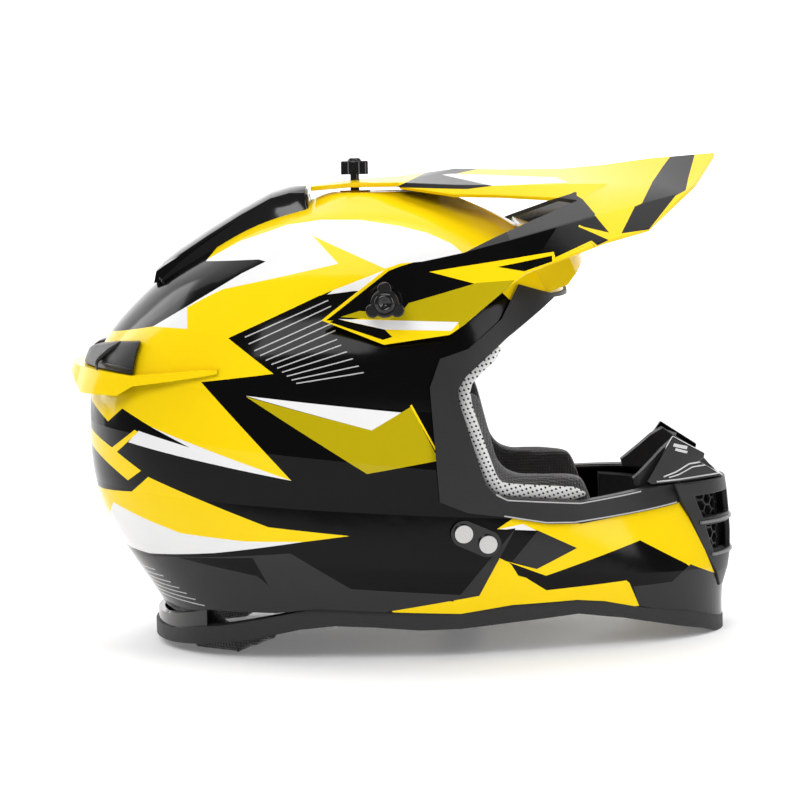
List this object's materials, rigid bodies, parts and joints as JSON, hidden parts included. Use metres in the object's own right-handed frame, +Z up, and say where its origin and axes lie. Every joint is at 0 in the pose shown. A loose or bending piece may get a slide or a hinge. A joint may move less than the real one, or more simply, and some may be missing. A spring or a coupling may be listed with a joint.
{
  "type": "motocross helmet",
  "caption": "Full-face motocross helmet with a tilting peak on side and top screws, eyeport trim, chin vent, foam and fabric liners, cheek pads and a double-ring chin strap.",
  "frame": {"origin": "centre of the footprint on the plane that the helmet stands on, under its neck roll and chin edge", "axes": "+X forward, the way the wearer looks; +Y the wearer's left; +Z up"},
  "size_m": [0.3652, 0.2658, 0.2645],
  "materials": {
    "shell_paint": "high gloss painted livery",
    "matte_trim": "matte",
    "eps_foam": "fine bead",
    "pad_fabric": "brushed knit",
    "edge_rubber": "satin",
    "gloss_black": "gloss",
    "satin_black": "satin",
    "visor_paint": "high gloss painted livery",
    "vent_mesh": "open mesh",
    "rivet_steel": "polished",
    "steel": "zinc plated",
    "brass": "turned",
    "webbing": "woven"
  },
  "bodies": {
    "root": {"outer_shell": "shell_paint", "eyeport_trim": "matte_trim", "eps_liner": "eps_foam", "comfort_liner": "pad_fabric", "cheek_pad_right": "pad_fabric", "cheek_pad_left": "pad_fabric", "cheek_studs": "satin_black", "chin_eps": "eps_foam", "chin_vent_mesh": "vent_mesh", "chin_vent_frame": "gloss_black", "rear_vent_right": "gloss_black", "rear_vent_left": "gloss_black", "brow_vent": "vent_mesh", "neck_trim": "edge_rubber", "rear_exhaust_wall": "gloss_black", "neck_roll": "pad_fabric", "nose_guard_cover": "gloss_black", "nose_guard_lip": "edge_rubber", "strap_plate_right": "satin_black", "strap_plate_left": "satin_black", "strap_hangers": "steel", "strap_rivets": "rivet_steel", "chin_strap_right": "webbing", "chin_strap_left": "webbing", "strap_stud": "steel", "screw_inserts": "brass"},
    "visor_body": {"visor": "visor_paint"},
    "knob_right_body": {"visor_knob_right": "gloss_black"},
    "knob_left_body": {"visor_knob_left": "gloss_black"},
    "knob_top_body": {"visor_knob_top": "gloss_black"},
    "ring_lower_body": {"d_ring_lower": "steel"},
    "ring_upper_body": {"d_ring_upper": "steel"}
  },
  "joints": [
    {"name": "visor_tilt", "type": "hinge", "parent": "root", "child": "visor_body", "pos_m": [-0.0065, 0, 0.1924], "axis": [0, 1, 0], "range_deg": [0, 8]},
    {"name": "knob_right_turn", "type": "hinge", "parent": "root", "child": "knob_right_body", "pos_m": [-0.0065, -0.12, 0.1924], "axis": [0, -1, 0], "continuous": true},
    {"name": "knob_left_turn", "type": "hinge", "parent": "root", "child": "knob_left_body", "pos_m": [-0.0065, 0.12, 0.1924], "axis": [0, 1, 0], "continuous": true},
    {"name": "knob_top_turn", "type": "hinge", "parent": "root", "child": "knob_top_body", "pos_m": [-0.0224, 0, 0.258], "axis": [0, 0, 1], "continuous": true},
    {"name": "ring_lower_swing", "type": "hinge", "parent": "root", "child": "ring_lower_body", "pos_m": [0.039, 0.05, 0.0189], "axis": [1, 0, 0], "range_deg": [-4, 4]},
    {"name": "ring_upper_swing", "type": "hinge", "parent": "root", "child": "ring_upper_body", "pos_m": [0.039, 0.05, 0.0254], "axis": [1, 0, 0], "range_deg": [-4, 4]}
  ]
}
